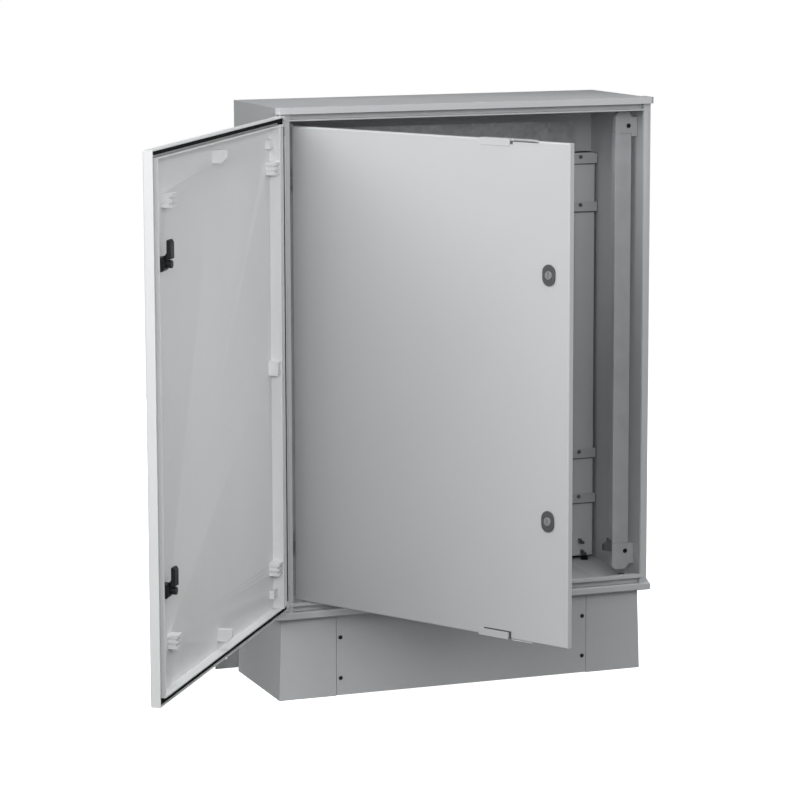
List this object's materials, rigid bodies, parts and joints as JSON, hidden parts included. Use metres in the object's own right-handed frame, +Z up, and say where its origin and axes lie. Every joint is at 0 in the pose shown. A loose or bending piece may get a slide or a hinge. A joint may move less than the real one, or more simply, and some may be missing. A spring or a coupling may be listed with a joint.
{
  "type": "industrial switchboard cabinet",
  "caption": "Outdoor moulded switchboard cabinet on a plinth: an outer door with a seal and latches, a hinged inner door, uprights, rails and a mounting plate.",
  "frame": {"origin": "on the floor, at the middle of the underside of the plinth's rear ground flange", "axes": "+Z up, +Y to the back of the cabinet, +X to the right when facing the doors"},
  "size_m": [1.3167, 0.9728, 1.204],
  "materials": {
    "polyester": "light grey moulded glass-fibre polyester, matt",
    "sheet_steel": "galvanised",
    "dark_plastic": "black polyamide",
    "gasket_rubber": "foamed seal",
    "light_plastic": "light grey, satin",
    "hardware_steel": "zinc plated"
  },
  "bodies": {
    "cabinet": {"cabinet_body": "polyester", "cable_entry_plate": "sheet_steel", "rear_panel": "polyester", "mounting_plate": "sheet_steel", "mounting_rail_1": "sheet_steel", "mounting_rail_2": "sheet_steel", "mounting_rail_3": "sheet_steel", "mounting_rail_4": "sheet_steel", "plate_screw_1": "hardware_steel", "plate_screw_2": "hardware_steel", "plate_screw_3": "hardware_steel", "plate_screw_4": "hardware_steel", "body_bolt_1": "hardware_steel", "body_bolt_2": "hardware_steel", "body_bolt_3": "hardware_steel", "body_bolt_4": "hardware_steel", "plinth_frame": "polyester", "plinth_front_panel": "polyester", "plinth_screw_1": "hardware_steel", "plinth_screw_2": "hardware_steel", "plinth_screw_3": "hardware_steel", "plinth_screw_4": "hardware_steel", "rear_bracket_left": "sheet_steel", "rear_bracket_right": "sheet_steel", "upright_left": "light_plastic", "upright_right": "light_plastic", "upright_block_top_left": "light_plastic", "upright_block_top_right": "light_plastic", "upright_block_bottom_left": "light_plastic", "upright_block_bottom_right": "light_plastic", "main_hinge_lower": "hardware_steel", "main_hinge_upper": "hardware_steel", "main_hinge_pin_lower": "hardware_steel", "main_hinge_pin_upper": "hardware_steel", "inner_hinge_bracket_lower": "sheet_steel", "inner_hinge_bracket_upper": "sheet_steel", "inner_hinge_pin_lower": "hardware_steel", "inner_hinge_pin_upper": "hardware_steel"},
    "main_door": {"main_door_shell": "polyester", "door_gasket": "gasket_rubber", "latch_base_lower": "dark_plastic", "latch_base_upper": "dark_plastic", "main_escutcheon_lower": "dark_plastic", "main_escutcheon_upper": "dark_plastic"},
    "inner_door": {"inner_door_panel": "polyester", "inner_clip_top": "light_plastic", "inner_clip_bottom": "light_plastic", "inner_hinge_leaf_lower": "sheet_steel", "inner_hinge_leaf_upper": "sheet_steel", "inner_escutcheon_lower": "dark_plastic", "inner_escutcheon_upper": "dark_plastic"},
    "main_latch_upper": {"main_spindle_upper": "light_plastic", "main_cam_upper": "dark_plastic"},
    "main_latch_lower": {"main_spindle_lower": "light_plastic", "main_cam_lower": "dark_plastic"},
    "inner_lock_upper": {"inner_spindle_upper": "light_plastic", "inner_cam_upper": "hardware_steel"},
    "inner_lock_lower": {"inner_spindle_lower": "light_plastic", "inner_cam_lower": "hardware_steel"}
  },
  "joints": [
    {"name": "main_door_hinge", "type": "hinge", "parent": "cabinet", "child": "main_door", "pos_m": [-0.3995, -0.2859, 0.69], "axis": [0, 0, -1], "range_deg": [-125, 55]},
    {"name": "inner_door_hinge", "type": "hinge", "parent": "cabinet", "child": "inner_door", "pos_m": [-0.3513, -0.2335, 0.69], "axis": [0, 0, -1], "range_deg": [-60, 26.4]},
    {"name": "main_latch_turn_upper", "type": "hinge", "parent": "main_door", "child": "main_latch_upper", "pos_m": [-0.83685, -0.89463, 0.984], "axis": [0.8192, -0.5736, 0], "range_deg": [0, 90]},
    {"name": "main_latch_turn_lower", "type": "hinge", "parent": "main_door", "child": "main_latch_lower", "pos_m": [-0.83685, -0.89463, 0.399], "axis": [0.8192, -0.5736, 0], "range_deg": [0, 90]},
    {"name": "inner_lock_turn_upper", "type": "hinge", "parent": "inner_door", "child": "inner_lock_upper", "pos_m": [-0.04454, -0.80383, 0.9169], "axis": [0.866, 0.5, 0], "range_deg": [0, 90]},
    {"name": "inner_lock_turn_lower", "type": "hinge", "parent": "inner_door", "child": "inner_lock_lower", "pos_m": [-0.04454, -0.80383, 0.4486], "axis": [0.866, 0.5, 0], "range_deg": [0, 90]}
  ],
  "couplings": [
    {"joint": "inner_door_hinge", "follows": "main_door_hinge", "ratio": 0.48}
  ]
}
